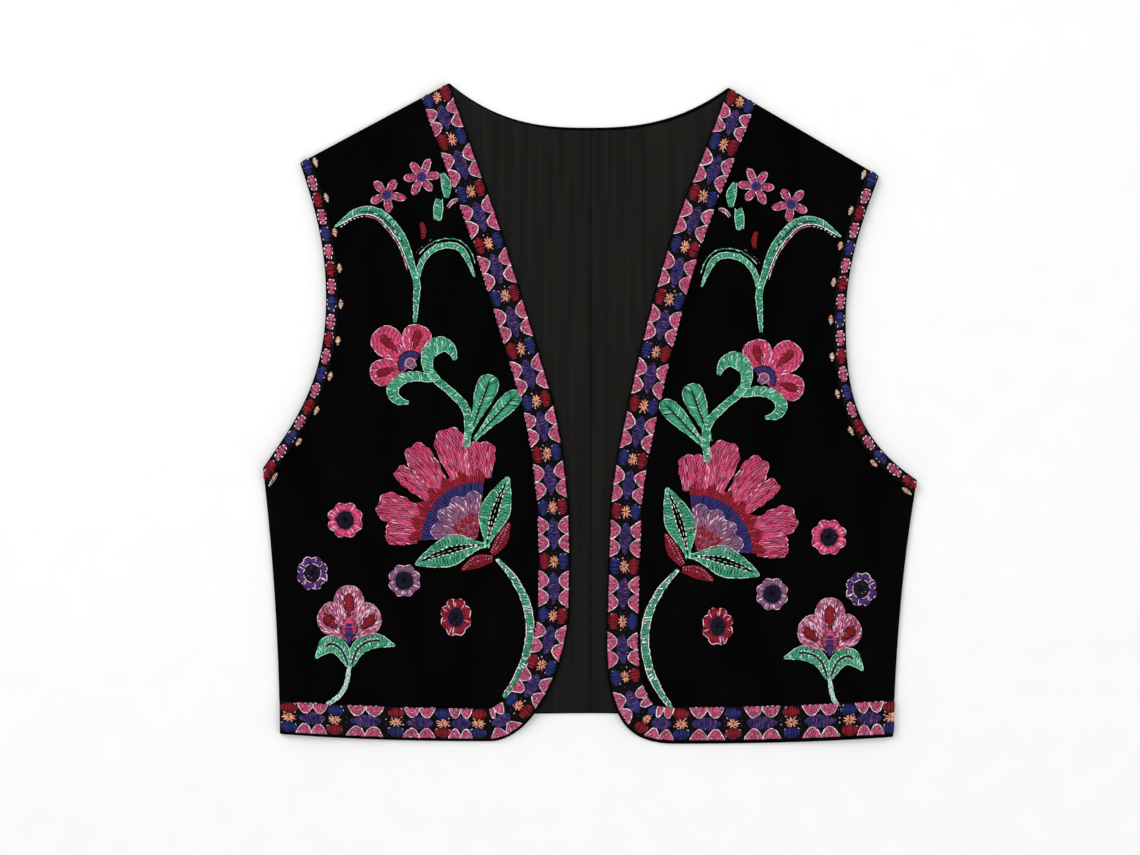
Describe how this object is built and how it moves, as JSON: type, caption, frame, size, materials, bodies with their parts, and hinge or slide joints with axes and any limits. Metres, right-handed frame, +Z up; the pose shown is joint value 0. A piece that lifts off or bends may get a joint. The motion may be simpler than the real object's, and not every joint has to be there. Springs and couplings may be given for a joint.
{
  "type": "embroidered folk vest laid flat",
  "caption": "Open sleeveless velvet vest laid flat on its back: fronts apart with rounded lower corners, wide embroidered edge bands and narrow armhole trims over a lined back.",
  "frame": {"origin": "middle of the vest's outline, on the surface that it lies on", "axes": "+Z up from the surface, +Y towards the neck, +X towards the wearer's left front"},
  "size_m": [0.4578, 0.4628, 0.0075],
  "materials": {
    "velvet": "black cotton velvet, short matt pile",
    "lining": "charcoal plain-weave lining, faint sheen",
    "embroidered_band": "black ground closely worked in pink, red, blue and violet thread"
  },
  "bodies": {
    "root": {"back_shell": "velvet", "back_lining_left": "lining", "back_lining_right": "lining", "front_left": "velvet", "front_right": "velvet", "front_band_left": "embroidered_band", "front_band_right": "embroidered_band", "armhole_band_left": "embroidered_band", "armhole_band_right": "embroidered_band"}
  },
  "joints": []
}
